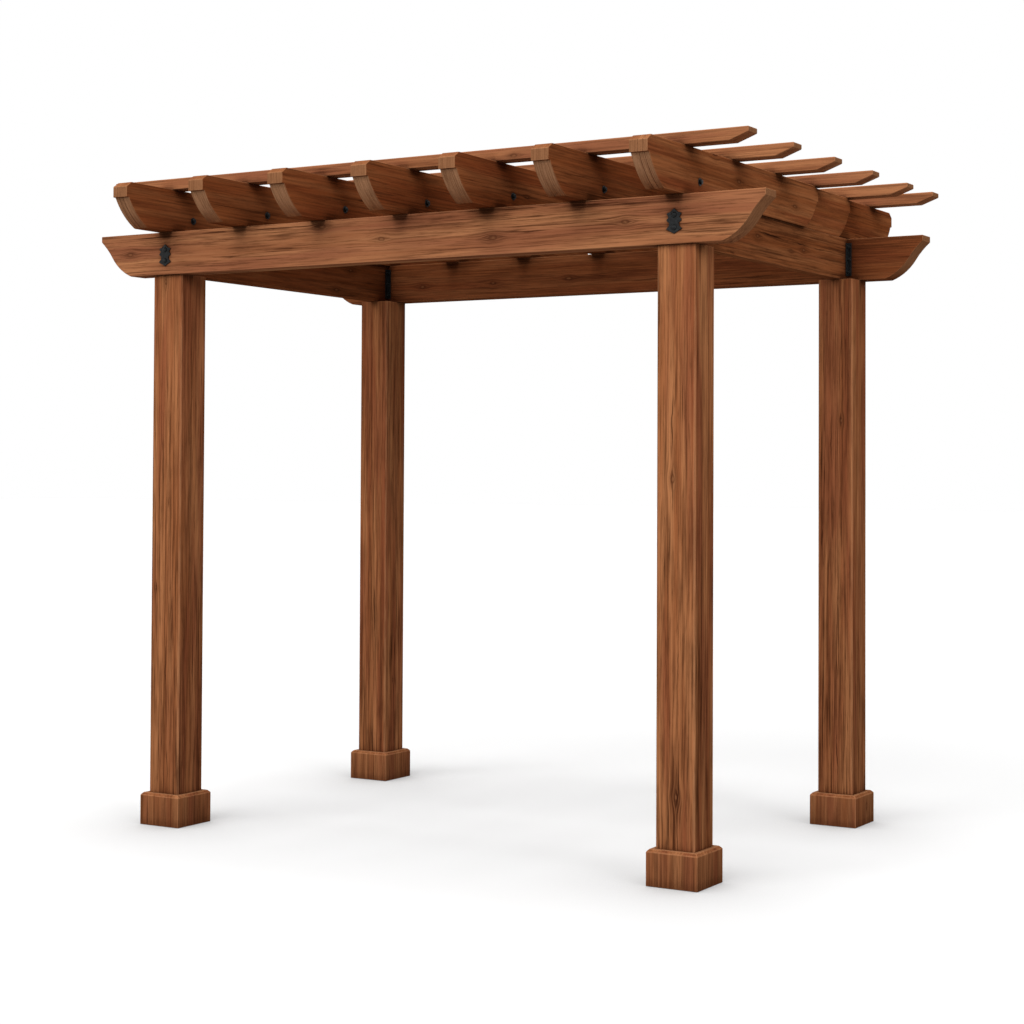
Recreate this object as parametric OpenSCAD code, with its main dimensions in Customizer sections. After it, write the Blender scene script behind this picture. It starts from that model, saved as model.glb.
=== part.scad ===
// Free-standing wooden pergola: four posts with base trim, two main beams with ogee ends,
// two side beams, seven rafters with shaped tails, boards lapped on the end rafters, six slats
// and black iron hardware. X runs along the main beams, Y from front to rear, Z up;
// the origin is on the ground under the middle of the roof.

/* [Posts] */
// side of each square post
post_w = 140; // [90:1:200]
// width of the chamfer on the upright post corners
post_chamfer = 5; // [1:0.5:12]
// centre distance of the posts along the main beams
span_x = 2150; // [1600:5:3600]
// centre distance of the posts from front to rear
span_y = 1335; // [1000:5:3000]
// height of the posts from the ground to the underside of the beams
post_h = 2070; // [1900:5:2500]

/* [Base trim] */
// thickness of the trim round each post foot
base_t = 23; // [15:1:40]
// height of the trim
base_h = 120; // [80:1:240]
// bevel round the top edge of the trim
base_bevel = 9; // [3:0.5:14]

/* [Beams] */
// thickness of the main beams
beam_t = 82; // [50:1:100]
// height of the main and side beams
beam_h = 160; // [130:1:200]
// distance the main beam faces stand proud of the post faces
beam_proud = 15; // [0:1:40]
// overhang of the main beams past the outer post faces
beam_over = 252; // [180:1:400]
// height of the upright nose at the beam ends
beam_nose = 22; // [12:1:30]
// radius of the hollow part of the ogee end
cove_r = 280; // [200:5:300]
// slope of the ogee just under the nose, in degrees
cove_start = 40; // [34:1:46]
// steepest slope of the ogee, in degrees
ogee_turn = 57; // [50:1:60]
// slope of the ogee where it meets the underside, in degrees
belly_end = 20; // [12:1:30]
// thickness of the side beams
side_t = 38; // [30:1:90]

/* [Rafters] */
// thickness of the rafters
rafter_t = 66; // [40:1:90]
// height of the rafters
rafter_h = 160; // [130:1:200]
// overhang of the rafter tails past the front beam
rafter_over = 250; // [180:1:400]
// overhang of the rafter tails past the rear beam
rafter_rear_over = 450; // [180:1:600]
// height of the upright nose at the tail ends
tail_nose = 39; // [20:1:50]
// run of the bevel on top of the nose
tail_bevel_run = 26; // [10:1:40]
// rise of the bevel on top of the nose
tail_bevel_rise = 18; // [8:1:24]
// depth of the step under the nose
tail_step = 12; // [6:1:20]
// slope of the rounded tail just under the nose, in degrees
tail_start = 62; // [55:1:70]
// slope of the rounded tail where it meets the underside, in degrees
tail_end = 28; // [20:1:36]
// thickness of each of the two boards lapped on the outer face of an end rafter
lap_t = 18; // [8:1:19]

/* [Slats] */
// width of the slats
slat_w = 68; // [40:1:100]
// height of the slats
slat_h = 42; // [30:1:70]
// overhang of the slats past the end rafters
slat_over = 226; // [120:1:300]
// height of the upright nose at the slat ends
slat_nose = 17; // [8:1:26]
// length of the bevel under the slat ends
slat_bevel = 68; // [30:1:100]
// distance of the rearmost slat behind the one over the rear beam
slat_rear_gap = 280; // [120:1:380]

/* [Iron] */
// width of the ornamental plates
plate_w = 57; // [40:1:90]
// height of the ornamental plates
plate_h = 82; // [60:1:120]
// distance of the plate centres below the middle of the beam
plate_drop = 7; // [0:1:15]
// thickness of the ornamental plates
plate_t = 4; // [2:0.5:8]
// width of the legs of the corner brackets
bracket_leg = 18; // [14:1:50]
// height of the corner brackets
bracket_h = 126; // [80:1:128]
// thickness of the corner brackets
bracket_t = 5; // [3:0.5:8]

/* [Hidden] */
$fn = 96;
wood = [0.47, 0.25, 0.13];
iron = [0.06, 0.06, 0.07];
half_x = span_x / 2;
half_y = span_y / 2;
// the posts stand a little in front of the origin, because the rear tails are longer
mid_y = (rafter_over - rafter_rear_over) / 2;
beam_z = post_h;
rafter_z = beam_z + beam_h;
slat_z = rafter_z + rafter_h;
face_y = half_y + post_w / 2 + beam_proud;
beam_y = face_y - beam_t / 2;
inner_y = face_y - beam_t;
beam_len = span_x + post_w + 2 * beam_over;
side_len = 2 * inner_y;
rafter_len = 2 * face_y + rafter_over + rafter_rear_over;
rafter_rear = rafter_len / 2;
rafter_count = 7;
rafter_pitch = span_x / (rafter_count - 1);
core_t = rafter_t - 2 * lap_t;
slat_len = span_x + rafter_t + 2 * slat_over;
slat_spaced = 5;
slat_pitch = 2 * beam_y / (slat_spaced - 1);
// the lapped boards end under the last slat between the beams and the slat over the rear beam
outer_lap_rear = mid_y + beam_y - slat_pitch;
inner_lap_rear = mid_y + beam_y;
base_w = post_w + 2 * base_t;
// ogee end of the main beams, measured inward and downward from the upper corner
cove_run = cove_r * (sin(ogee_turn) - sin(cove_start));
cove_drop = cove_r * (cos(cove_start) - cos(ogee_turn));
turn_z = beam_nose + cove_drop;
belly_r = (beam_h - turn_z) / (cos(belly_end) - cos(ogee_turn));
belly_run = belly_r * (sin(ogee_turn) - sin(belly_end));
// rounded tail of the rafters, measured the same way
tail_z = tail_bevel_rise + tail_nose;
tail_r = (rafter_h - tail_z) / (cos(tail_end) - cos(tail_start));
tail_run = tail_r * (sin(tail_start) - sin(tail_end));
// half of the plate outline to the right of its centre line, as shares of the half width and half height
plate_half = [[0, 1], [0.42, 0.74], [0.94, 0.60], [0.68, 0.32], [0.96, 0.06],
    [0.58, -0.16], [0.66, -0.40], [1, -0.62], [0.50, -0.80], [0, -1]];
over = 1;

// square outline with chamfered corners
module chamfered_square(w, c) {
    h = w / 2;
    polygon([[-h + c, -h], [h - c, -h], [h, -h + c], [h, h - c],
        [h - c, h], [-h + c, h], [-h, h - c], [-h, -h + c]]);
}

module post(sx, sy) {
    color(wood)
        translate([sx * half_x, mid_y + sy * half_y, 0])
            linear_extrude(height = post_h)
                chamfered_square(post_w, post_chamfer);
}

// collar of trim round a post foot, bevelled round its top edge
module base(sx, sy) {
    color(wood)
        translate([sx * half_x, mid_y + sy * half_y, 0])
            difference() {
                union() {
                    translate([-base_w / 2, -base_w / 2, 0])
                        cube([base_w, base_w, base_h - base_bevel]);
                    translate([0, 0, base_h - base_bevel])
                        rotate([0, 0, 45])
                            cylinder(h = base_bevel, r1 = base_w / sqrt(2),
                                r2 = (base_w - 2 * base_bevel) / sqrt(2), $fn = 4);
                }
                translate([-post_w / 2, -post_w / 2, -over])
                    cube([post_w, post_w, base_h + 2 * over]);
            }
}

// material taken off one end of a main beam, x inward from the end, y upward from the underside
module ogee_cut() {
    intersection() {
        translate([-over, beam_h - turn_z])
            square([cove_run + 2 * over, cove_drop]);
        translate([-cove_r * sin(cove_start), beam_h - beam_nose - cove_r * cos(cove_start)])
            circle(r = cove_r);
    }
    difference() {
        translate([-over, -over])
            square([cove_run + belly_run + over, beam_h - turn_z + over]);
        translate([cove_run + belly_r * sin(ogee_turn), beam_h - turn_z + belly_r * cos(ogee_turn)])
            circle(r = belly_r);
    }
}

module main_beam_outline() {
    difference() {
        square([beam_len, beam_h]);
        ogee_cut();
        translate([beam_len, 0])
            mirror([1, 0])
                ogee_cut();
    }
}

// main beam whose outer face lies on the front or rear face plane
module main_beam(sy) {
    color(wood)
        translate([-beam_len / 2, mid_y + sy * beam_y + beam_t / 2, beam_z])
            rotate([90, 0, 0])
                linear_extrude(height = beam_t)
                    main_beam_outline();
}

module side_beam(sx) {
    color(wood)
        translate([sx * half_x - side_t / 2, mid_y - side_len / 2, beam_z])
            cube([side_t, side_len, beam_h]);
}

// material taken off one tail of a rafter, x inward from the end, y upward from the underside
module tail_cut() {
    difference() {
        translate([-over, -over])
            square([tail_step + tail_run + over, rafter_h - tail_z + over]);
        translate([tail_step + tail_r * sin(tail_start), rafter_h - tail_z + tail_r * cos(tail_start)])
            circle(r = tail_r);
    }
    polygon([[0, rafter_h - tail_bevel_rise], [tail_bevel_run, rafter_h],
        [tail_bevel_run, rafter_h + over], [-over, rafter_h + over], [-over, rafter_h - tail_bevel_rise]]);
}

module rafter_outline(length) {
    difference() {
        square([length, rafter_h]);
        tail_cut();
        translate([length, 0])
            mirror([1, 0])
                tail_cut();
    }
}

// board with a shaped tail at both ends, from the common front line back to rear, left face at x
module rafter_board(x, thick, rear) {
    color(wood)
        translate([x, -rafter_rear, rafter_z])
            rotate([90, 0, 90])
                linear_extrude(height = thick)
                    rafter_outline(rear + rafter_rear);
}

// rafter between the end rafters, counted from the left end
module rafter(i) {
    rafter_board(-half_x + (i - 1) * rafter_pitch - rafter_t / 2, rafter_t, rafter_rear);
}

// full length board of an end rafter, on the inner side of its two lapped boards
module end_rafter(sx) {
    rafter_board(sx * (half_x - lap_t) - core_t / 2, core_t, rafter_rear);
}

// lapped board of an end rafter, counted outward from the full length board
module lap(sx, i, rear) {
    middle = half_x - rafter_t / 2 + core_t + (i - 1 / 2) * lap_t;
    rafter_board(sx * middle - lap_t / 2, lap_t, rear);
}

module slat_outline() {
    polygon([[slat_bevel, 0], [slat_len - slat_bevel, 0], [slat_len, slat_h - slat_nose],
        [slat_len, slat_h], [0, slat_h], [0, slat_h - slat_nose]]);
}

// slat whose centre line lies at y from the middle between the main beams
module slat(y) {
    color(wood)
        translate([-slat_len / 2, mid_y + y + slat_w / 2, slat_z])
            rotate([90, 0, 0])
                linear_extrude(height = slat_w)
                    slat_outline();
}

// pointed ornamental outline, the same on both sides of its centre line
module plate_outline() {
    right = [for (p = plate_half) [p[0] * plate_w / 2, p[1] * plate_h / 2]];
    left = [for (i = [len(right) - 2:-1:1]) [-right[i][0], right[i][1]]];
    polygon(concat(right, left));
}

// ornamental plate on the outer face of a main beam, over a post
module plate(sx, sy) {
    color(iron)
        translate([sx * half_x, mid_y + sy * (face_y + plate_t / 2) + plate_t / 2,
            beam_z + beam_h / 2 - plate_drop])
            rotate([90, 0, 0])
                linear_extrude(height = plate_t)
                    plate_outline();
}

// angle bracket in the corner of a side beam and a main beam
module bracket(sx, sy, side) {
    color(iron)
        translate([sx * half_x + side * side_t / 2, mid_y + sy * inner_y,
            beam_z + (beam_h - bracket_h) / 2])
            linear_extrude(height = bracket_h)
                scale([side, -sy])
                    polygon([[0, 0], [bracket_leg, 0], [bracket_leg, bracket_t], [bracket_t, bracket_t],
                        [bracket_t, bracket_leg], [0, bracket_leg]]);
}

post(-1, -1);  // front_left_post
post(1, -1);  // front_right_post
post(-1, 1);  // rear_left_post
post(1, 1);  // rear_right_post
base(-1, -1);  // front_left_base
base(1, -1);  // front_right_base
base(-1, 1);  // rear_left_base
base(1, 1);  // rear_right_base
main_beam(-1);  // front_beam
main_beam(1);  // rear_beam
side_beam(-1);  // left_side_beam
side_beam(1);  // right_side_beam
end_rafter(-1);  // rafter_1
rafter(2);  // rafter_2
rafter(3);  // rafter_3
rafter(4);  // rafter_4
rafter(5);  // rafter_5
rafter(6);  // rafter_6
end_rafter(1);  // rafter_7
lap(-1, 1, inner_lap_rear);  // left_inner_lap
lap(-1, 2, outer_lap_rear);  // left_outer_lap
lap(1, 1, inner_lap_rear);  // right_inner_lap
lap(1, 2, outer_lap_rear);  // right_outer_lap
slat(-beam_y);  // slat_1
slat(-beam_y + slat_pitch);  // slat_2
slat(-beam_y + 2 * slat_pitch);  // slat_3
slat(-beam_y + 3 * slat_pitch);  // slat_4
slat(beam_y);  // slat_5
slat(beam_y + slat_rear_gap);  // slat_6
plate(-1, -1);  // front_left_plate
plate(1, -1);  // front_right_plate
plate(-1, 1);  // rear_left_plate
plate(1, 1);  // rear_right_plate
bracket(-1, -1, -1);  // front_left_outer_bracket
bracket(1, -1, 1);  // front_right_outer_bracket
bracket(-1, 1, -1);  // rear_left_outer_bracket
bracket(1, 1, 1);  // rear_right_outer_bracket
bracket(-1, -1, 1);  // front_left_inner_bracket
bracket(1, -1, -1);  // front_right_inner_bracket
bracket(-1, 1, 1);  // rear_left_inner_bracket
bracket(1, 1, -1);  // rear_right_inner_bracket
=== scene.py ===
"""Looks for the wooden pergola: stained timber, black iron hardware and a plain white studio."""
import math
import random
from collections import namedtuple

import bmesh
import bpy
from mathutils import Matrix, Vector


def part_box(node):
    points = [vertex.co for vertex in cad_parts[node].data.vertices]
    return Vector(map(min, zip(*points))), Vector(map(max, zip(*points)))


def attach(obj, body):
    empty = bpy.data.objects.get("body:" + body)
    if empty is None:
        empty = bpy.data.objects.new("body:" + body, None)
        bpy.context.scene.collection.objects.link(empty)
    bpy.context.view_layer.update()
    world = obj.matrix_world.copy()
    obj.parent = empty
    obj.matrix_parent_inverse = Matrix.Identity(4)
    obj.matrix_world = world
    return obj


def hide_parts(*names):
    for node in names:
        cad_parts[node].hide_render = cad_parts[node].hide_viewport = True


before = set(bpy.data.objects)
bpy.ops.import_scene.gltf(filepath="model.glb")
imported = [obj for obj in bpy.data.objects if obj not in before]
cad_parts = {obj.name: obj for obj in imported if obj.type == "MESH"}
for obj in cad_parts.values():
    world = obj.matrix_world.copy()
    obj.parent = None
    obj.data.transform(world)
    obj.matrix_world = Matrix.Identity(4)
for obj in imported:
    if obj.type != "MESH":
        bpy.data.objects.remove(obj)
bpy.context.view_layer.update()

# Camera of the photograph, in metres and degrees of the part's frame, on a square image
IMAGE_SIZE = 1024
CAMERA_PLACE = Vector((3.9895, -6.5764, 1.3340))
CAMERA_YAW = -30.482
CAMERA_PITCH = 1.369
CAMERA_ROLL = 0.244
FOCAL_PIXELS = 1993.2
IMAGE_CENTRE = (551.9, 423.8)
SENSOR_WIDTH = 36.0

# Studio light: level all round, and name, power, spread in degrees and direction towards each lamp
AMBIENT = 0.22
LIGHTS = [
    ("overhead", 1.75, 24, (0.0, 0.03, 1.0)),
    ("front", 2.15, 60, (-0.12, -1.0, 0.74)),
    ("right", 0.88, 30, (1.0, -0.40, 0.40)),
    ("rear", 0.95, 70, (-0.70, 1.0, 0.45)),
]

# White floor: its own glow and its colour as they are seen, its colour with painted shade beside the feet,
# how far that painted shade reaches in metres and the openness from which it clears, its colour as it
# lights the object, and its half size and drop in metres
FLOOR_GLOW = 0.25
FLOOR_SEEN = 0.59
FLOOR_FOOT_SHADE = 0.36
FOOT_SHADE_REACH = 0.45
FOOT_SHADE_OPEN = (0.45, 0.98)
FLOOR_BOUNCE = 0.25
FLOOR_HALF = 60.0
FLOOR_DROP = 0.0005
WHITE = (1, 1, 1, 1)

# Names of the corners, with the sign of each along X and Y, and of the members that come in rows
CORNERS = {
    "front_left": (-1, -1),
    "front_right": (1, -1),
    "rear_left": (-1, 1),
    "rear_right": (1, 1),
}
RAFTERS = ["rafter_%d" % i for i in range(1, 8)]
LAPS = ["left_inner_lap", "left_outer_lap", "right_inner_lap", "right_outer_lap"]
SLATS = ["slat_%d" % i for i in range(1, 7)]
POST_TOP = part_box("front_left_post")[1].z

# Wood colours, linear
PALE_WOOD = (0.530, 0.212, 0.083, 1)
MID_WOOD = (0.345, 0.112, 0.038, 1)
RED_WOOD = (0.265, 0.066, 0.027, 1)
DARK_WOOD = (0.050, 0.0145, 0.0058, 1)
# Painted light: a paler, greyer wood for lit members; painted shade: a deep red wood for shaded members
LIT_GREY_WOOD = (0.420, 0.215, 0.125, 1)
SHADE_RED_WOOD = (0.270, 0.062, 0.014, 1)
CRACK_WOOD = (0.022, 0.006, 0.003, 1)
# Worn edge colour, also a painted highlight
WORN_LIT_EDGE = (0.520, 0.235, 0.108, 1)
END_WOOD = (0.358, 0.162, 0.075, 1)
# Painted light: paler end grain on undersides
END_UNDER_LIGHT = (0.540, 0.275, 0.143, 1)
END_DARK = (0.165, 0.068, 0.029, 1)
KNOT_DARK = (0.040, 0.011, 0.005, 1)
KNOT_HEART = (0.330, 0.135, 0.058, 1)

# A noise has waves per metre along the grain and then across it, detail and roughness. A layer is a
# noise that goes from a low to a high value as the noise passes from start to stop.
Noise = namedtuple("Noise", "waves detail rough")
Layer = namedtuple("Layer", "waves detail rough start stop low high", defaults=(0.0, 1.0))
BAND = Layer((0.9, 30, 30), 3.0, 0.55, 0.32, 0.68)
REDDENING = Layer((1.3, 18, 18), 2.0, 0.5, 0.42, 0.68, 0.0, 0.70)
CLOUD = Layer((2.6, 15, 15), 3.0, 0.55, 0.46, 0.74)
STREAK = Layer((1.2, 95, 95), 3.0, 0.6, 0.52, 0.70)
FIBRE = Layer((4.5, 160, 160), 3.0, 0.6, 0.38, 0.64)
PORE = Layer((26, 420, 420), 2.0, 0.5, 0.56, 0.72)
RUBBING = Layer((9, 60, 60), 3.0, 0.5, 0.30, 0.62, 0.20, 0.80)
END_LINE = Layer((9, 290, 12), 3.0, 0.6, 0.38, 0.64)
SPECK = Layer((420, 420, 420), 3.0, 0.6, 0.40, 0.70)

# Share of the dark wood that each layer brings, and the most of it
FIBRE_DARK = 0.44
STREAK_DARK = 0.34
LINE_DARK = 0.42
RING_DARK = 0.20
CLOUD_DARK = 0.28
PORE_DARK = 0.18
MOST_DARK = 0.92

# Growth rings: width and how far two noises push them in metres, how each ring darkens and clears
# over its width, and the patches where rings show
RING_WIDTH = 0.013
RING_SWAY = 0.070
RING_SWAY_NOISE = Noise((0.7, 4, 4), 2.0, 0.5)
RING_RIPPLE = 0.018
RING_RIPPLE_NOISE = Noise((2.4, 14, 14), 3.0, 0.5)
RING_RISE = (0.10, 0.84)
RING_FALL = (1.0, 0.86)
RING_PATCH = Layer((1.5, 24, 24), 2.0, 0.5, 0.40, 0.72)

# Thin dark lines: the noise and level that they follow, how near it they fade, and where they show
LINE_NOISE = Noise((1.2, 46, 46), 3.0, 0.55)
LINE_LEVEL = 0.53
LINE_EDGE = (0.030, 0.004)
LINE_PATCH = Layer((1.1, 11, 11), 2.0, 0.5, 0.46, 0.66)

# End grain: share of its dark colour from lines, specks and clouds, and how far it covers the stain
END_LINE_DARK = 0.52
END_SPECK_DARK = 0.25
END_CLOUD_DARK = 0.15
END_COVER = 0.88

# Roughness of the wood, and what fibres and end grain add to it
WOOD_ROUGH = 0.52
FIBRE_ROUGH = 0.14
END_ROUGH = 0.22

# Relief of the wood as shares of the bump's depth in metres, the bump's strength, and the shine
RING_HEIGHT = 0.25
FIBRE_HEIGHT = -0.35
PORE_HEIGHT = -0.30
CRACK_HEIGHT = -1.6
KNOT_HEIGHT = -0.4
BUMP_DEPTH = 0.0012
WOOD_BUMP = 0.55
WOOD_SHINE = 0.0

# Knots, in radii: length of the eye against its width, wobble of its outline, its dark rim, the flare
# along the grain and its taper, the halo, the pale heart, and how the grain is pushed aside
KNOT_NOISE = Noise((60, 110, 110), 2.0, 0.5)
EYE_SHAPE = (0.42, 1.0, 1.0)
EYE_WOBBLE = 0.9
RIM_OUTSIDE = (1.45, 0.90)
RIM_INSIDE = (0.20, 0.75)
RIM_DARK = 0.62
FLARE_LENGTH = 0.14
FLARE_TAPER = (0.35, 0.65, 1.0, 2.2)
FLARE_DARK = 0.60
HALO_SIZE = 0.42
HALO_DARK = 0.40
HEART_EDGE = (0.62, 0.25)
HEART_PALE = 0.40
PUSH_ALONG = 0.20
PUSH_ACROSS = 0.30
PUSH_RADII = 1.6

# Random knots: how far along and across a face they lie, their sizes, and the share on the two faces
# that lie across the member
KNOT_ALONG = 0.92
KNOT_ACROSS = 0.75
KNOT_SIZES = (0.55, 1.25)
KNOT_ACROSS_SHARE = 0.6
KNOT_SEED_FACTOR = 7
KNOT_SEED_SHIFT = 3

# Cracks, in metres: how far they sway, how deep they go, how they swell and how their ends fade
CRACK_SWAY = 0.046
CRACK_SWAY_NOISE = Noise((2.6, 1, 1), 4.0, 0.6)
CRACK_DEPTH = (0.020, 0.012)
CRACK_SWELL = Layer((5.0, 1, 1), 3.0, 0.5, 0.36, 0.66, 0.15, 1.0)
CRACK_FADE = 0.12

# Place of a knot or crack from the middle of its member in metres, with the grain first. A crack
# wanders across or in depth, and runs from start to stop along the grain.
Knot = namedtuple("Knot", "along across depth radius")
Crack = namedtuple("Crack", "across depth wanders width start stop")
WANDERS = {"across": (0, 1, 0), "depth": (0, 0, 1)}

# Each kind of member: axis of its grain, width of its eased edges in metres, and number and usual
# radius in metres of its random knots
Kind = namedtuple("Kind", "grain ease knots knot_size")
POST = Kind("Z", 0.0013, 3, 0.006)
BASE = Kind("Z", 0.0022, 1, 0.005)
BEAM = Kind("X", 0.0022, 4, 0.006)
SIDE_BEAM = Kind("Y", 0.0022, 3, 0.006)
RAFTER = Kind("Y", 0.0022, 4, 0.006)
SLAT = Kind("X", 0.0030, 3, 0.005)

# Stain of each kind of member: darkness, which also holds painted light on the front beam and slats and
# painted shade on the rear beam, side beams and rafters; share of painted paler, greyer light; share of
# painted redder shade; strength of the grain; and painted light on the undersides of cut ends
Stain = namedtuple("Stain", "tone fade red grain bare")
POST_STAIN = Stain(0.0, 0.06, 0.0, 1.0, 0.0)
BASE_STAIN = Stain(0.02, 0.10, 0.0, 0.58, 0.0)
FRONT_BEAM_STAIN = Stain(-0.28, 0.22, 0.0, 1.40, 0.0)
REAR_BEAM_STAIN = Stain(0.14, 0.05, 0.55, 0.75, 0.0)
LEFT_SIDE_STAIN = Stain(0.20, 0.0, 0.60, 0.75, 0.0)
RIGHT_SIDE_STAIN = Stain(0.15, 0.0, 0.35, 0.85, 0.0)
RAFTER_STAIN = Stain(0.08, 0.0, 0.55, 0.75, 1.0)
LAP_STAIN = Stain(0.03, 0.0, 0.30, 0.72, 1.0)
SLAT_STAIN = Stain(-0.26, 0.22, 0.0, 0.90, 0.0)

# Seeds of each member's wood; a row of members counts up from its first seed
POST_SEEDS = {"front_left": 611, "front_right": 413, "rear_left": 415, "rear_right": 17}
BASE_SEEDS = {"front_left": 12, "front_right": 14, "rear_left": 16, "rear_right": 18}
FRONT_BEAM_SEED = 219
REAR_BEAM_SEED = 520
LEFT_SIDE_SEED = 21
RIGHT_SIDE_SEED = 22
RAFTER_SEED = 23
LAP_SEED = 30
SLAT_SEED = 34

# How much darker each post is than its stain. Posts and bases also carry painted light, lighter at the head
# of the posts and darker down to the foot; the other members vary a little.
POST_TONES = {"front_left": 0.0, "front_right": -0.04, "rear_left": -0.06, "rear_right": 0.01}
HEAD_LIGHT_TONE = -0.12
FOOT_SHADE_TONE = 0.18
TONE_SPREAD = 0.04

# Where the noises and the pith of a member lie: reach of the seed in metres, and shares of half sizes
SEED_REACH = 40
PITH_OUT = (1.1, 2.2)
PITH_SIDEWAYS = 0.9

# Axis order that puts the grain first, for members along X, Y and Z
GRAIN_ORDER = {"X": (0, 1, 2), "Y": (1, 0, 2), "Z": (2, 0, 1)}
ALONG_GRAIN = (1, 0, 0)
OFF_GRAIN = (0, 1, 1)

# Turn of a face towards the grain's axis over which it becomes end grain, and turn downwards over
# which it counts as an underside, whose end grain takes painted light, and over which its worn edges and
# their painted highlight clear
END_TURN = {"X": (0.30, 0.85), "Y": (0.30, 0.85), "Z": (0.75, 0.95)}
UNDER_TURN = (-0.10, -0.60)
WEAR_HIGHLIGHT_TURN = (-0.6, -0.1)

# How much the edges and the posts' chamfers are rubbed and lit by a painted highlight, and the turn of a
# face that is a chamfer
EDGE_WEAR_AND_HIGHLIGHT = 0.50
CHAMFER_WEAR_AND_HIGHLIGHT = 0.55
CHAMFER_TURN = 0.3

# Painted shade in the corners and, tighter, a painted contact shadow in the joints: how far each reaches in
# metres, the openness over which it comes, its darkness, and the rays that feel for it
CORNER_SHADE_REACH = 0.28
CORNER_SHADE_OPEN = (0.85, 0.30)
CORNER_SHADE_DARK = 0.42
JOINT_SHADOW_REACH = 0.036
JOINT_SHADOW_OPEN = {"X": (0.96, 0.50), "Y": (0.96, 0.50), "Z": (0.80, 0.60)}
JOINT_SHADOW_DARK = 0.80
SHADE_RAYS = 4

# Meshing, in metres and radians: edges that are eased, faces that are joined, and welded points
SHARP_ANGLE = math.radians(24)
FLAT_ANGLE = math.radians(0.4)
WELD = 1e-5
EASE_SEGMENTS = 2
EASE_PROFILE = 0.5

# Knots seen in the photograph: face, the two places on that face in metres of the frame, radius
SEEN_KNOTS = {
    "front_beam": [("front", -1.25, 2.153, 0.0070), ("front", -0.08, 2.149, 0.0065),
                   ("front", 0.385, 2.128, 0.0075), ("front", 0.895, 2.151, 0.0065)],
    "rear_beam": [("front", -0.87, 2.131, 0.0070), ("front", -0.51, 2.132, 0.0065),
                  ("front", -0.14, 2.135, 0.0070)],
    "right_side_beam": [("right", 0.15, 2.146, 0.0065), ("right", -0.25, 2.157, 0.0065)],
    "front_right_post": [("front", 1.064, 1.311, 0.0065), ("front", 1.079, 0.290, 0.0070)],
    "front_left_post": [("front", -1.085, 2.045, 0.0055)],
}

# Hardware, in metres; bracket bolts and plate studs are placed by shares of the height
LAG_WASHER_R = 0.0130
LAG_WASHER_T = 0.0020
LAG_HEAD_R = 0.0090
LAG_HEAD_T = 0.0070
LAG_RISE = 0.052
LAG_BEHIND = 0.078
BRACKET_IRON_T = 0.005
BRACKET_BOLT_R = 0.0050
BRACKET_BOLT_T = 0.0045
BRACKET_BOLTS = (0.12, 0.50, 0.88)
STUD_R = 0.0100
STUD_T = 0.0065
STUD_SHARE = 0.25
SCREW_R = 0.0045
SCREW_T = 0.0006
PLATE_EASE = 0.0010
BRACKET_EASE = 0.0008

# Turned heads, as shares of their radius and height from the foot to the crown, and their sides
HEX_SHAPE = [(1.0, 0.0), (1.0, 0.74), (0.84, 1.0), (0.30, 1.04)]
HEX_SIDES = 6
WASHER_SHAPE = [(1.0, 0.0), (1.0, 0.6), (0.93, 1.0), (0.35, 1.0)]
WASHER_SIDES = 28
DOME_STEPS = 5
DOME_CROWN = (0.12, 1.0)
DOME_SIDES = 24

# Black iron: colours, linear, its noises, wear on edges, relief and roughness of the grit, and shine
IRON_BLACK = (0.0055, 0.0060, 0.0065, 1)
IRON_GREY = (0.020, 0.023, 0.024, 1)
IRON_RUBBING = Layer((110, 110, 110), 3.0, 0.5, 0.50, 0.74)
IRON_DENTS = Noise((130, 130, 130), 1.0, 0.5)
IRON_GRIT = Noise((1400, 1400, 1400), 2.0, 0.5)
IRON_EDGE_WEAR = 0.8
GRIT_HEIGHT = 0.12
GRIT_ROUGH = 0.20
IRON_ROUGH = 0.34
IRON_BUMP = 0.6
IRON_SHINE = 0.16

# Face attribute that marks worn edges, on the wood with a painted highlight, and the colour sockets of a
# Mix node
EDGE_NAME = "edge"
MIX_FACTOR, MIX_A, MIX_B, MIX_RESULT = 0, 6, 7, 2


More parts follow.
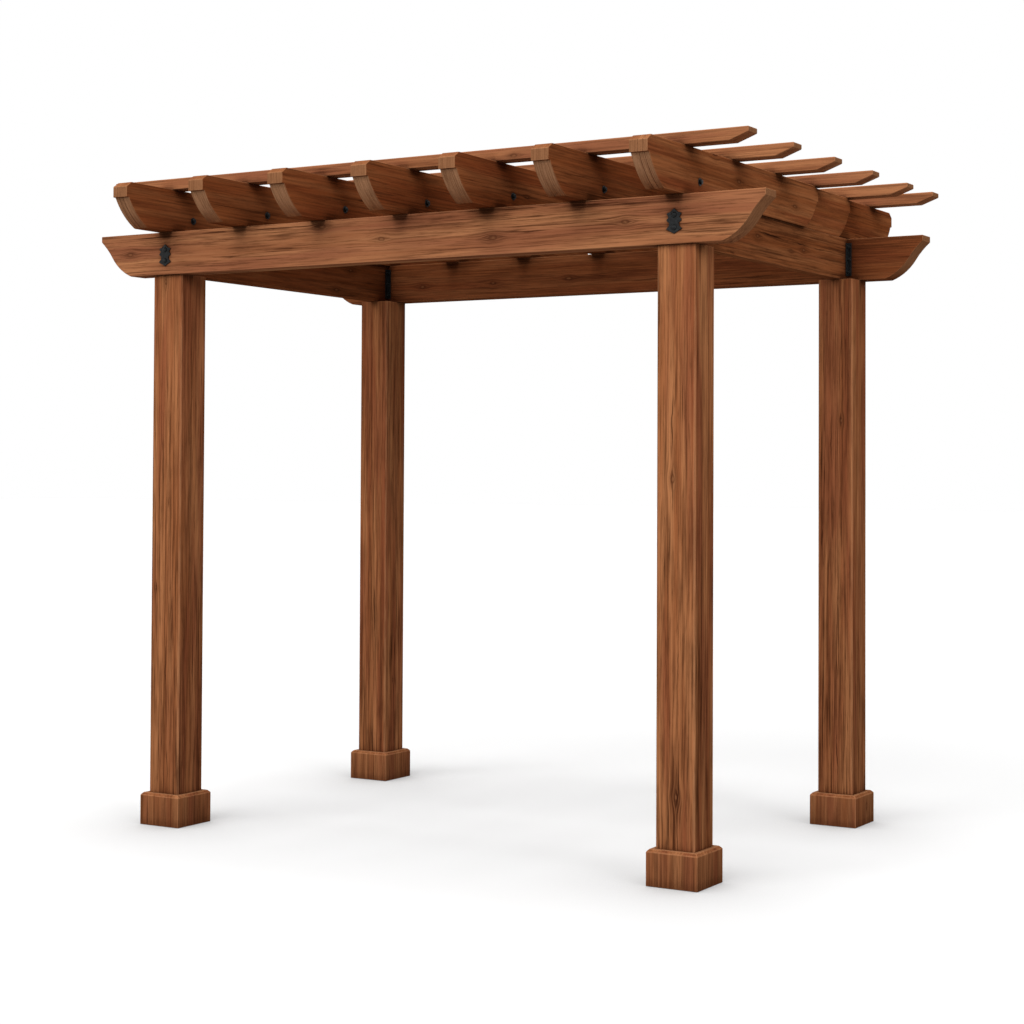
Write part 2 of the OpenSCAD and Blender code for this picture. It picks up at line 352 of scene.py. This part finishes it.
class Graph:
    """Short calls for building the nodes of one material, world or node group."""

    def __init__(self, tree):
        self.tree = tree

    def add(self, kind, settings=None, **values):
        """New node with its settings, and values or links for the named inputs."""
        node = self.tree.nodes.new("ShaderNode" + kind)
        for name, value in (settings or {}).items():
            setattr(node, name, value)
        for name, value in values.items():
            self.feed(node.inputs[name.replace("_", " ")], value)
        return node

    def feed(self, socket, value):
        if isinstance(value, bpy.types.NodeSocket):
            self.tree.links.new(value, socket)
        elif value is not None:
            socket.default_value = value

    def math(self, operation, a, b=None, c=None):
        node = self.add("Math", {"operation": operation})
        for socket, value in zip(node.inputs, (a, b, c)):
            self.feed(socket, value)
        return node.outputs[0]

    def vector(self, operation, a, b=None):
        node = self.add("VectorMath", {"operation": operation})
        self.feed(node.inputs[0], a)
        self.feed(node.inputs[1], b)
        return node.outputs["Value" if operation in ("LENGTH", "DOT_PRODUCT") else "Vector"]

    def scaled(self, vector, factor):
        node = self.add("VectorMath", {"operation": "SCALE"}, Scale=factor)
        self.feed(node.inputs[0], vector)
        return node.outputs["Vector"]

    def noise(self, place, kind):
        """The noise of a Noise or a Layer, from 0 to 1."""
        node = self.add("TexNoise", Vector=self.vector("MULTIPLY", place, kind.waves), Scale=1.0,
                        Detail=kind.detail, Roughness=kind.rough)
        return node.outputs[0]

    def span(self, value, low, high, to_low=0.0, to_high=1.0):
        """Smooth step of value from one range to another."""
        node = self.add("MapRange", {"interpolation_type": "SMOOTHSTEP"})
        for socket, x in zip(node.inputs, (value, low, high, to_low, to_high)):
            self.feed(socket, x)
        return node.outputs[0]

    def layer(self, place, kind):
        return self.span(self.noise(place, kind), kind.start, kind.stop, kind.low, kind.high)

    def bell(self, value):
        """Bell curve that is 1 where value is 0 and fades as value passes 1."""
        return self.math("EXPONENT", self.math("MULTIPLY", self.math("MULTIPLY", value, value), -1.0))

    def mix(self, factor, a, b):
        node = self.add("Mix", {"data_type": "RGBA"})
        self.feed(node.inputs[MIX_FACTOR], factor)
        self.feed(node.inputs[MIX_A], a)
        self.feed(node.inputs[MIX_B], b)
        return node.outputs[MIX_RESULT]

    def split(self, vector):
        return self.add("SeparateXYZ", Vector=vector).outputs

    def join(self, x, y, z):
        return self.add("CombineXYZ", X=x, Y=y, Z=z).outputs[0]

    def openness(self, reach):
        """1 on open faces, and less where other faces stand within reach."""
        return self.add("AmbientOcclusion", {"samples": SHADE_RAYS}, Distance=reach).outputs["AO"]

    def edge(self):
        return self.add("Attribute", {"attribute_name": EDGE_NAME}).outputs["Fac"]

    def group(self, tree, **values):
        return self.add("Group", {"node_tree": tree}, **values).outputs


def fresh_graph(owner):
    """Turns on the nodes of a material or world and gives a graph on its emptied tree."""
    owner.use_nodes = True
    owner.node_tree.nodes.clear()
    return Graph(owner.node_tree)


def new_group(name, inputs, outputs):
    """Node group with the named sockets; returns its tree, graph, input sockets and output sockets."""
    tree = bpy.data.node_groups.new(name, "ShaderNodeTree")
    for direction, sockets in (("INPUT", inputs), ("OUTPUT", outputs)):
        for label, kind in sockets:
            tree.interface.new_socket(label, in_out=direction, socket_type="NodeSocket" + kind)
    entry = tree.nodes.new("NodeGroupInput")
    exit_node = tree.nodes.new("NodeGroupOutput")
    return tree, Graph(tree), entry.outputs, exit_node.inputs


def knot_group():
    """One knot: its dark eye with streaks along the grain, its pale heart and its push on the grain."""
    tree, g, given, result = new_group(
        "knot",
        [("Local", "Vector"), ("Centre", "Vector"), ("Radius", "Float"),
         ("Dark In", "Float"), ("Heart In", "Float"), ("Push In", "Vector")],
        [("Dark", "Float"), ("Heart", "Float"), ("Push", "Vector")])
    radius = given["Radius"]
    offset = g.vector("SUBTRACT", given["Local"], given["Centre"])
    wobble = g.noise(given["Local"], KNOT_NOISE)
    eye = g.math("DIVIDE", g.vector("LENGTH", g.vector("MULTIPLY", offset, EYE_SHAPE)), radius)
    eye = g.math("ADD", eye, g.math("MULTIPLY_ADD", wobble, EYE_WOBBLE, -EYE_WOBBLE / 2))
    along = g.math("DIVIDE", g.vector("DOT_PRODUCT", offset, ALONG_GRAIN), radius)
    across_vector = g.vector("MULTIPLY", offset, OFF_GRAIN)
    across = g.math("DIVIDE", g.vector("LENGTH", across_vector), radius)

    rim = g.math("MULTIPLY", g.span(eye, *RIM_OUTSIDE), g.span(eye, *RIM_INSIDE))
    flare = g.math("MULTIPLY", g.bell(g.math("MULTIPLY", along, FLARE_LENGTH)),
                   g.bell(g.math("MULTIPLY", across, g.span(wobble, *FLARE_TAPER))))
    halo = g.math("MULTIPLY", g.bell(g.math("MULTIPLY", eye, HALO_SIZE)), HALO_DARK)
    dark = g.math("MAXIMUM", g.math("MULTIPLY", rim, RIM_DARK), g.math("MULTIPLY", flare, FLARE_DARK))
    dark = g.math("MAXIMUM", dark, halo)
    heart = g.math("MULTIPLY", g.span(eye, *HEART_EDGE), HEART_PALE)
    reach = g.math("MULTIPLY", g.bell(g.math("MULTIPLY", along, PUSH_ALONG)),
                   g.bell(g.math("MULTIPLY", across, PUSH_ACROSS)))
    push = g.scaled(g.vector("NORMALIZE", across_vector),
                    g.math("MULTIPLY", reach, g.math("MULTIPLY", radius, PUSH_RADII)))
    g.feed(result["Dark"], g.math("MAXIMUM", dark, given["Dark In"]))
    g.feed(result["Heart"], g.math("MAXIMUM", heart, given["Heart In"]))
    g.feed(result["Push"], g.vector("ADD", push, given["Push In"]))
    return tree


def crack_group():
    """A dark line along the grain that wanders about one place across a face, from one end to another."""
    tree, g, given, result = new_group(
        "crack",
        [("Local", "Vector"), ("Seed", "Vector"), ("Line", "Vector"), ("Across", "Vector"),
         ("Width", "Float"), ("From", "Float"), ("To", "Float"), ("Crack In", "Float")],
        [("Crack", "Float")])
    offset = g.vector("SUBTRACT", given["Local"], given["Line"])
    along = g.vector("MULTIPLY", g.vector("ADD", given["Local"], given["Seed"]), ALONG_GRAIN)
    sway = g.math("MULTIPLY_ADD", g.noise(along, CRACK_SWAY_NOISE), CRACK_SWAY, -CRACK_SWAY / 2)
    away = g.math("ABSOLUTE", g.math("ADD", g.vector("DOT_PRODUCT", offset, given["Across"]), sway))
    depth = g.vector("DOT_PRODUCT", offset, g.vector("SUBTRACT", OFF_GRAIN, given["Across"]))
    near = g.span(g.math("ABSOLUTE", depth), *CRACK_DEPTH)
    swell = g.layer(along, CRACK_SWELL)
    line = g.span(away, g.math("MULTIPLY", given["Width"], swell), 0.0)
    line = g.math("MULTIPLY", g.math("MULTIPLY", line, near), swell)
    place = g.vector("DOT_PRODUCT", given["Local"], ALONG_GRAIN)
    line = g.math("MULTIPLY", line, g.span(place, given["From"], g.math("ADD", given["From"], CRACK_FADE)))
    line = g.math("MULTIPLY", line, g.span(place, given["To"], g.math("SUBTRACT", given["To"], CRACK_FADE)))
    g.feed(result["Crack"], g.math("MAXIMUM", line, given["Crack In"]))
    return tree


def timber_group():
    """Solid stained wood: soft bands, fibres, dark streaks and lines, end grain, worn edges with a painted
    highlight, and painted light and shade set per member.
    """
    tree, g, given, result = new_group(
        "stained_timber",
        [("Local", "Vector"), ("Seed", "Vector"), ("Pith", "Vector"), ("Tone", "Float"),
         ("Fade", "Float"), ("Red", "Float"), ("Grain", "Float"),
         ("End", "Float"), ("Under", "Float"), ("Edge", "Float"), ("Dark", "Float"), ("Heart", "Float"),
         ("Push", "Vector"), ("Crack", "Float")],
        [("Color", "Color"), ("Roughness", "Float"), ("Height", "Float")])
    local = g.vector("SUBTRACT", given["Local"], given["Push"])
    place = g.vector("ADD", local, given["Seed"])

    from_pith = g.vector("MULTIPLY", g.vector("SUBTRACT", local, given["Pith"]), OFF_GRAIN)
    radius = g.vector("LENGTH", from_pith)
    radius = g.math("MULTIPLY_ADD", g.noise(place, RING_SWAY_NOISE), RING_SWAY, radius)
    radius = g.math("MULTIPLY_ADD", g.noise(place, RING_RIPPLE_NOISE), RING_RIPPLE, radius)
    ring = g.math("FRACT", g.math("DIVIDE", radius, RING_WIDTH))
    late = g.math("MULTIPLY", g.span(ring, *RING_RISE), g.span(ring, *RING_FALL))
    late = g.math("MULTIPLY", late, g.layer(place, RING_PATCH))

    cloud = g.layer(place, CLOUD)
    streak = g.layer(place, STREAK)
    fibre = g.layer(place, FIBRE)
    pores = g.layer(place, PORE)
    contour = g.math("ABSOLUTE", g.math("SUBTRACT", g.noise(place, LINE_NOISE), LINE_LEVEL))
    line = g.math("MULTIPLY", g.span(contour, *LINE_EDGE), g.layer(place, LINE_PATCH))

    dark = g.math("MULTIPLY", fibre, FIBRE_DARK)
    for layer, share in ((streak, STREAK_DARK), (line, LINE_DARK), (late, RING_DARK),
                         (cloud, CLOUD_DARK), (pores, PORE_DARK)):
        dark = g.math("MULTIPLY_ADD", layer, share, dark)
    dark = g.math("MULTIPLY_ADD", dark, given["Grain"], given["Tone"])
    dark = g.math("MINIMUM", g.math("MAXIMUM", dark, 0.0), MOST_DARK)
    color = g.mix(g.layer(place, BAND), PALE_WOOD, MID_WOOD)
    color = g.mix(g.layer(place, REDDENING), color, RED_WOOD)
    # Painted shade: redder on members in shade; painted light: paler and greyer on lit members
    color = g.mix(given["Red"], color, SHADE_RED_WOOD)
    color = g.mix(given["Fade"], color, LIT_GREY_WOOD)
    color = g.mix(dark, color, DARK_WOOD)

    end_dark = g.math("MULTIPLY", g.layer(place, SPECK), END_SPECK_DARK)
    end_dark = g.math("MULTIPLY_ADD", g.layer(place, END_LINE), END_LINE_DARK, end_dark)
    end_dark = g.math("MULTIPLY_ADD", cloud, END_CLOUD_DARK, end_dark)
    # End grain, with painted light on its undersides
    end_color = g.mix(end_dark, g.mix(given["Under"], END_WOOD, END_UNDER_LIGHT), END_DARK)
    color = g.mix(g.math("MULTIPLY", given["End"], END_COVER), color, end_color)

    # Worn edges with a painted highlight
    color = g.mix(g.math("MULTIPLY", given["Edge"], g.layer(place, RUBBING)), color, WORN_LIT_EDGE)
    color = g.mix(given["Dark"], color, KNOT_DARK)
    color = g.mix(given["Heart"], color, KNOT_HEART)
    color = g.mix(given["Crack"], color, CRACK_WOOD)

    rough = g.math("MULTIPLY_ADD", fibre, FIBRE_ROUGH, WOOD_ROUGH)
    rough = g.math("MULTIPLY_ADD", given["End"], END_ROUGH, rough)
    height = g.math("MULTIPLY", fibre, FIBRE_HEIGHT)
    for layer, share in ((late, RING_HEIGHT), (pores, PORE_HEIGHT),
                         (given["Crack"], CRACK_HEIGHT), (given["Dark"], KNOT_HEIGHT)):
        height = g.math("MULTIPLY_ADD", layer, share, height)
    g.feed(result["Color"], color)
    g.feed(result["Roughness"], rough)
    g.feed(result["Height"], height)
    return tree


KNOT = knot_group()
CRACK = crack_group()
TIMBER = timber_group()


def wood_material(name, grain, low, high, seed, stain, knots, cracks):
    """Material of one member: grain runs along the named axis of the box from low to high."""
    rng = random.Random(seed)
    material = bpy.data.materials.new(name)
    g = fresh_graph(material)
    order = GRAIN_ORDER[grain]
    middle = (low + high) / 2
    half = (high - low) / 2
    seed_place = Vector([rng.uniform(0, SEED_REACH) for _ in order])

    axes = g.split(g.add("TexCoord").outputs["Object"])
    local = g.join(*[axes[i] for i in order])
    local = g.vector("SUBTRACT", local, Vector([middle[i] for i in order]))
    normal = g.split(g.add("NewGeometry").outputs["Normal"])
    end = g.span(g.math("ABSOLUTE", normal[order[0]]), *END_TURN[grain])
    # Worn edges with a painted highlight, cleared on faces turned downwards
    edge = g.math("MULTIPLY", g.edge(), g.span(normal["Z"], *WEAR_HIGHLIGHT_TURN))
    # Painted light on the undersides of cut ends
    under = g.span(normal["Z"], *UNDER_TURN, 0.0, stain.bare)

    dark, heart, push = 0.0, 0.0, (0, 0, 0)
    for knot in knots:
        dark, heart, push = g.group(
            KNOT, Local=local, Centre=(knot.along, knot.across, knot.depth), Radius=knot.radius,
            Dark_In=dark, Heart_In=heart, Push_In=push)
    crack_share = 0.0
    for crack in cracks:
        crack_share = g.group(
            CRACK, Local=local, Seed=seed_place, Line=(0, crack.across, crack.depth),
            Across=WANDERS[crack.wanders], Width=crack.width, From=crack.start, To=crack.stop,
            Crack_In=crack_share)["Crack"]

    side = rng.choice((-1, 1))
    pith = (0, side * half[order[1]] * rng.uniform(*PITH_OUT),
            half[order[2]] * rng.uniform(-PITH_SIDEWAYS, PITH_SIDEWAYS))
    # Posts and bases: painted light, lighter at the head and darker towards the foot
    if grain == "Z":
        tone = g.math("ADD", g.span(axes["Z"], 0.0, POST_TOP, FOOT_SHADE_TONE, HEAD_LIGHT_TONE), stain.tone)
    else:
        tone = stain.tone + rng.uniform(-TONE_SPREAD, TONE_SPREAD)
    # Painted shade in the corners and a painted contact shadow in the joints, darkening the wood where
    # other faces stand near
    for reach, open_span, painted_shade in ((CORNER_SHADE_REACH, CORNER_SHADE_OPEN, CORNER_SHADE_DARK),
                                    (JOINT_SHADOW_REACH, JOINT_SHADOW_OPEN[grain], JOINT_SHADOW_DARK)):
        tone = g.math("ADD", g.span(g.openness(reach), *open_span, 0.0, painted_shade), tone)
    # The stain's fade share is painted light, paler and greyer, and its share of redder colour is painted
    # shade
    wood = g.group(TIMBER, Local=local, Seed=seed_place, Pith=pith, Tone=tone, Fade=stain.fade,
                   Red=stain.red, Grain=stain.grain, End=end, Under=under, Edge=edge,
                   Dark=dark, Heart=heart, Push=push, Crack=crack_share)
    bump = g.add("Bump", Height=wood["Height"], Strength=WOOD_BUMP, Distance=BUMP_DEPTH)
    shader = g.add("BsdfPrincipled", Base_Color=wood["Color"], Roughness=wood["Roughness"],
                   Normal=bump.outputs[0], Specular_IOR_Level=WOOD_SHINE)
    g.add("OutputMaterial", Surface=shader.outputs[0])
    return material


def iron_material():
    """Black powder coat over forged iron: soft dents, uneven sheen and greyer rubbed spots."""
    material = bpy.data.materials.new("black_iron")
    g = fresh_graph(material)
    place = g.add("TexCoord").outputs["Object"]
    grit = g.noise(place, IRON_GRIT)
    wear = g.math("MAXIMUM", g.layer(place, IRON_RUBBING), g.math("MULTIPLY", g.edge(), IRON_EDGE_WEAR))
    height = g.math("MULTIPLY_ADD", grit, GRIT_HEIGHT, g.noise(place, IRON_DENTS))
    bump = g.add("Bump", Height=height, Strength=IRON_BUMP, Distance=BUMP_DEPTH)
    shader = g.add("BsdfPrincipled", Base_Color=g.mix(wear, IRON_BLACK, IRON_GREY),
                   Roughness=g.math("MULTIPLY_ADD", grit, GRIT_ROUGH, IRON_ROUGH),
                   Normal=bump.outputs[0], Specular_IOR_Level=IRON_SHINE)
    g.add("OutputMaterial", Surface=shader.outputs[0])
    return material


def finish_piece(name, bm, material, node=None):
    """Makes a shown piece from a closed mesh; it rides on the frame and may stand for a CAD node."""
    mesh = bpy.data.meshes.new(name)
    bmesh.ops.recalc_face_normals(bm, faces=bm.faces)
    bm.to_mesh(mesh)
    bm.free()
    mesh.shade_smooth()
    mesh.materials.append(material)
    piece = bpy.data.objects.new(name, mesh)
    bpy.context.scene.collection.objects.link(piece)
    weighted = piece.modifiers.new("even_normals", "WEIGHTED_NORMAL")
    weighted.keep_sharp = True
    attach(piece, "root")
    if node:
        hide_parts(node)


def edge_layer(bm):
    return bm.faces.layers.float.get(EDGE_NAME) or bm.faces.layers.float.new(EDGE_NAME)


def ease_edges(bm, width):
    """Rounds every sharp edge by width and marks the new faces as edges."""
    layer = edge_layer(bm)
    sharp = [e for e in bm.edges if len(e.link_faces) == 2 and e.calc_face_angle() > SHARP_ANGLE]
    made = bmesh.ops.bevel(bm, geom=sharp, offset=width, offset_type="OFFSET", segments=EASE_SEGMENTS,
                           profile=EASE_PROFILE, affect="EDGES", clamp_overlap=True)
    for face in made["faces"]:
        # Worn edges; on the wood they also take a painted highlight
        face[layer] = EDGE_WEAR_AND_HIGHLIGHT


def node_solid(node):
    """The solid of a CAD node as a clean mesh whose flat faces are whole."""
    bm = bmesh.new()
    bm.from_mesh(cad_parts[node].data)
    bmesh.ops.remove_doubles(bm, verts=bm.verts, dist=WELD)
    bmesh.ops.dissolve_limit(bm, angle_limit=FLAT_ANGLE, verts=bm.verts, edges=bm.edges)
    return bm


def random_knots(rng, half, count, size):
    """Knots on the four long faces of a member with the given half sizes, grain first."""
    knots = []
    for _ in range(count):
        along = rng.uniform(-KNOT_ALONG, KNOT_ALONG) * half[0]
        radius = size * rng.uniform(*KNOT_SIZES)
        if rng.random() < KNOT_ACROSS_SHARE:
            across = rng.choice((-1, 1)) * half[1]
            depth = rng.uniform(-KNOT_ACROSS, KNOT_ACROSS) * half[2]
        else:
            across = rng.uniform(-KNOT_ACROSS, KNOT_ACROSS) * half[1]
            depth = rng.choice((-1, 1)) * half[2]
        knots.append(Knot(along, across, depth, radius))
    return knots


def seen_knots(node, low, high, order):
    """The knots of SEEN_KNOTS on a member, measured from its middle with the grain first."""
    knots = []
    for face, sideways, z, radius in SEEN_KNOTS.get(node, ()):
        place = Vector((sideways, low.y, z)) if face == "front" else Vector((high.x, sideways, z))
        place -= (low + high) / 2
        knots.append(Knot(place[order[0]], place[order[1]], place[order[2]], radius))
    return knots


def timber(node, kind, seed, stain, cracks=()):
    """Dresses one timber node: eased edges and a solid wood material of its own."""
    low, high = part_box(node)
    order = GRAIN_ORDER[kind.grain]
    half = [((high - low) / 2)[i] for i in order]
    knots = seen_knots(node, low, high, order)
    knot_rng = random.Random(seed * KNOT_SEED_FACTOR + KNOT_SEED_SHIFT)
    knots += random_knots(knot_rng, half, kind.knots, kind.knot_size)
    material = wood_material(node + "_wood", kind.grain, low, high, seed, stain, knots, cracks)
    bm = node_solid(node)
    layer = edge_layer(bm)
    # Post chamfers: worn colour with a painted highlight
    if kind.grain == "Z":
        for face in bm.faces:
            if min(abs(face.normal.x), abs(face.normal.y)) > CHAMFER_TURN:
                face[layer] = CHAMFER_WEAR_AND_HIGHLIGHT
    ease_edges(bm, kind.ease)
    finish_piece(node + "_timber", bm, material, node)


def post_cracks(half_w):
    """Long cracks down a post of the given half width: two on the front, one on each other face."""
    return [
        Crack(across=0.010, depth=-half_w, wanders="across", width=0.0034, start=-1.2, stop=-0.10),
        Crack(across=-0.012, depth=-half_w, wanders="across", width=0.0024, start=0.12, stop=0.62),
        Crack(across=half_w, depth=0.012, wanders="depth", width=0.0026, start=-1.2, stop=0.3),
        Crack(across=0.020, depth=half_w, wanders="across", width=0.0026, start=-0.8, stop=1.2),
        Crack(across=-half_w, depth=-0.015, wanders="depth", width=0.0026, start=-1.2, stop=0.5),
    ]


def side_beam_cracks(face_x):
    """One long crack along the outer face of a side beam."""
    return [Crack(across=face_x, depth=0.016, wanders="depth", width=0.0060, start=-0.62, stop=0.62)]


def make_timbers():
    for corner in CORNERS:
        low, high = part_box(corner + "_post")
        cracks = post_cracks((high.x - low.x) / 2)
        stain = POST_STAIN._replace(tone=POST_STAIN.tone + POST_TONES[corner])
        timber(corner + "_post", POST, POST_SEEDS[corner], stain, cracks)
        timber(corner + "_base", BASE, BASE_SEEDS[corner], BASE_STAIN)
    timber("front_beam", BEAM, FRONT_BEAM_SEED, FRONT_BEAM_STAIN)
    timber("rear_beam", BEAM, REAR_BEAM_SEED, REAR_BEAM_STAIN)
    for node, side, seed, stain in (("left_side_beam", -1, LEFT_SIDE_SEED, LEFT_SIDE_STAIN),
                                    ("right_side_beam", 1, RIGHT_SIDE_SEED, RIGHT_SIDE_STAIN)):
        low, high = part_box(node)
        timber(node, SIDE_BEAM, seed, stain, side_beam_cracks(side * (high.x - low.x) / 2))
    for nodes, kind, first_seed, stain in ((RAFTERS, RAFTER, RAFTER_SEED, RAFTER_STAIN),
                                           (LAPS, RAFTER, LAP_SEED, LAP_STAIN),
                                           (SLATS, SLAT, SLAT_SEED, SLAT_STAIN)):
        for seed, node in enumerate(nodes, first_seed):
            timber(node, kind, seed, stain)


def ring_of_points(radius, height, count):
    return [Vector((radius * math.cos(2 * math.pi * i / count),
                    radius * math.sin(2 * math.pi * i / count), height)) for i in range(count)]


def turned(bm, profile, count, matrix):
    """Adds a closed turned solid to bm: profile is (radius, height) from the foot to the crown."""
    rings = [[bm.verts.new(matrix @ p) for p in ring_of_points(r, h, count)] for r, h in profile]
    bm.faces.new(list(reversed(rings[0])))
    bm.faces.new(rings[-1])
    for lower, upper in zip(rings, rings[1:]):
        for i in range(count):
            j = (i + 1) % count
            bm.faces.new((lower[i], lower[j], upper[j], upper[i]))


def head(bm, place, direction, shape, sides, radius, height, base=0.0):
    """Adds a turned head whose foot stands base above place, with its axis along direction."""
    turn = Vector(direction).to_track_quat("Z", "Y").to_matrix().to_4x4()
    profile = [(radius * r, base + height * h) for r, h in shape]
    turned(bm, profile, sides, Matrix.Translation(place) @ turn)


def hex_head(bm, place, direction, radius, height, base=0.0):
    head(bm, place, direction, HEX_SHAPE, HEX_SIDES, radius, height, base)


def washer(bm, place, direction, radius, height):
    head(bm, place, direction, WASHER_SHAPE, WASHER_SIDES, radius, height)


def round_head(bm, place, direction, radius, height):
    angles = [i * math.pi / 2 / DOME_STEPS for i in range(DOME_STEPS)]
    shape = [(math.cos(angle), math.sin(angle)) for angle in angles] + [DOME_CROWN]
    head(bm, place, direction, shape, DOME_SIDES, radius, height)


def make_iron(iron):
    for corner, (sx, sy) in CORNERS.items():
        plate_node = corner + "_plate"
        low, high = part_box(plate_node)
        bm = node_solid(plate_node)
        ease_edges(bm, PLATE_EASE)
        finish_piece(corner + "_plate_iron", bm, iron, plate_node)
        bm = bmesh.new()
        middle = (low + high) / 2
        face_y = low.y if sy < 0 else high.y
        for side in (-1, 1):
            place = Vector((middle.x, face_y, middle.z + side * STUD_SHARE * (high.z - low.z)))
            round_head(bm, place, (0, sy, 0), STUD_R, STUD_T)
        finish_piece(corner + "_plate_studs", bm, iron)
        for kind, side in (("outer", sx), ("inner", -sx)):
            node = "%s_%s_bracket" % (corner, kind)
            low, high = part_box(node)
            bm = node_solid(node)
            ease_edges(bm, BRACKET_EASE)
            finish_piece(node + "_iron", bm, iron, node)
            bracket_bolts(node, low, high, side, -sy, iron)
    for node in RAFTERS:
        rafter_bolts(node, iron)
    for node in SLATS:
        slat_screws(node, iron)


def bracket_bolts(node, low, high, side, inward, iron):
    """Hexagon heads down the middle of each free leg of an angle bracket."""
    bm = bmesh.new()
    free_x = (high.x - low.x - BRACKET_IRON_T) / 2
    free_y = (high.y - low.y - BRACKET_IRON_T) / 2
    tip_x = high.x if side > 0 else low.x
    tip_y = high.y if inward > 0 else low.y
    wall_x = (low.x if side > 0 else high.x) + side * BRACKET_IRON_T
    wall_y = (low.y if inward > 0 else high.y) + inward * BRACKET_IRON_T
    for share in BRACKET_BOLTS:
        z = low.z + share * (high.z - low.z)
        for place, way in (((tip_x - side * free_x, wall_y, z), (0, inward, 0)),
                           ((wall_x, tip_y - inward * free_y, z), (side, 0, 0))):
            hex_head(bm, Vector(place), way, BRACKET_BOLT_R, BRACKET_BOLT_T)
    finish_piece(node + "_bolts", bm, iron)


def rafter_bolts(node, iron):
    """A lag bolt and washer just behind the front beam and one just before the rear beam.

    The front bolt is on the right face and the rear bolt on the left face; the lapped boards of
    the end rafters carry the one that would lie under them.
    """
    low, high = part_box(node)
    right_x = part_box("right_outer_lap")[1].x if node == RAFTERS[-1] else high.x
    left_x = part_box("left_inner_lap")[0].x if node == RAFTERS[0] else low.x
    front_y = sum(corner.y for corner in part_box("front_beam")) / 2 + LAG_BEHIND
    rear_y = sum(corner.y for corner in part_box("rear_beam")) / 2 - LAG_BEHIND
    bm = bmesh.new()
    for x, y, way in ((right_x, front_y, 1), (left_x, rear_y, -1)):
        place = Vector((x, y, low.z + LAG_RISE))
        washer(bm, place, (way, 0, 0), LAG_WASHER_R, LAG_WASHER_T)
        hex_head(bm, place, (way, 0, 0), LAG_HEAD_R, LAG_HEAD_T, LAG_WASHER_T)
    finish_piece(node + "_lag_bolts", bm, iron)


def slat_screws(node, iron):
    """One screw head in the top of a slat over each rafter."""
    low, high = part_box(node)
    bm = bmesh.new()
    for rafter in RAFTERS:
        r_low, r_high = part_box(rafter)
        place = Vector(((r_low.x + r_high.x) / 2, (low.y + high.y) / 2, high.z))
        round_head(bm, place, (0, 0, 1), SCREW_R, SCREW_T)
    finish_piece(node + "_screws", bm, iron)


def seen_directly(g):
    """1 for rays from the camera, from gloss and through glass, and 0 for light that bounces."""
    path = g.add("LightPath").outputs
    return g.math("MAXIMUM", g.math("MAXIMUM", path["Is Camera Ray"], path["Is Glossy Ray"]),
                  path["Is Transmission Ray"])


def make_world():
    """White surroundings that light the object at the ambient level only."""
    world = bpy.data.worlds.new("studio")
    bpy.context.scene.world = world
    g = fresh_graph(world)
    strength = g.math("MULTIPLY_ADD", seen_directly(g), 1.0 - AMBIENT, AMBIENT)
    background = g.add("Background", Color=WHITE, Strength=strength)
    g.add("OutputWorld", Surface=background.outputs[0])


def grey(level):
    return (level, level, level, 1)


def make_floor():
    """White floor that keeps the shadow, with painted shade beside the feet, and throws back little light.
    """
    bm = bmesh.new()
    bmesh.ops.create_grid(bm, x_segments=1, y_segments=1, size=FLOOR_HALF)
    mesh = bpy.data.meshes.new("floor")
    bm.to_mesh(mesh)
    bm.free()
    floor = bpy.data.objects.new("floor", mesh)
    floor.location.z = -FLOOR_DROP
    bpy.context.scene.collection.objects.link(floor)
    material = bpy.data.materials.new("floor_white")
    g = fresh_graph(material)
    lighting = g.add("BsdfDiffuse", Color=grey(FLOOR_BOUNCE))
    # Painted shade: the seen floor colour darkens beside the feet, where other faces stand near
    shade = g.mix(g.span(g.openness(FOOT_SHADE_REACH), *FOOT_SHADE_OPEN), grey(FLOOR_FOOT_SHADE), grey(FLOOR_SEEN))
    shaded = g.add("BsdfDiffuse", Color=shade)
    glow = g.add("Emission", Color=WHITE, Strength=FLOOR_GLOW)
    shown = g.add("AddShader")
    g.feed(shown.inputs[0], shaded.outputs[0])
    g.feed(shown.inputs[1], glow.outputs[0])
    choose = g.add("MixShader", Fac=seen_directly(g))
    g.feed(choose.inputs[1], lighting.outputs[0])
    g.feed(choose.inputs[2], shown.outputs[0])
    g.add("OutputMaterial", Surface=choose.outputs[0])
    mesh.materials.append(material)


def make_lights():
    for name, energy, spread, direction in LIGHTS:
        lamp = bpy.data.lights.new(name, "SUN")
        lamp.energy = energy
        lamp.angle = math.radians(spread)
        holder = bpy.data.objects.new(name, lamp)
        holder.rotation_euler = Vector(direction).to_track_quat("Z", "Y").to_euler()
        bpy.context.scene.collection.objects.link(holder)


def make_camera():
    yaw, pitch, roll = (math.radians(a) for a in (CAMERA_YAW, CAMERA_PITCH, CAMERA_ROLL))
    ahead = Vector((math.sin(yaw) * math.cos(pitch), math.cos(yaw) * math.cos(pitch), math.sin(pitch)))
    right = Vector((math.cos(yaw), -math.sin(yaw), 0))
    up = right.cross(ahead)
    across = math.cos(roll) * right + math.sin(roll) * up
    upward = -math.sin(roll) * right + math.cos(roll) * up
    data = bpy.data.cameras.new("camera")
    data.sensor_width = SENSOR_WIDTH
    data.lens = SENSOR_WIDTH * FOCAL_PIXELS / IMAGE_SIZE
    data.shift_x = (IMAGE_SIZE / 2 - IMAGE_CENTRE[0]) / IMAGE_SIZE
    data.shift_y = (IMAGE_CENTRE[1] - IMAGE_SIZE / 2) / IMAGE_SIZE
    camera = bpy.data.objects.new("camera", data)
    turn = Matrix((across, upward, -ahead)).transposed()
    camera.matrix_world = Matrix.Translation(CAMERA_PLACE) @ turn.to_4x4()
    bpy.context.scene.collection.objects.link(camera)
    bpy.context.scene.camera = camera


bpy.context.scene.view_settings.view_transform = "Standard"
make_camera()
make_world()
make_floor()
make_lights()
make_timbers()
make_iron(iron_material())
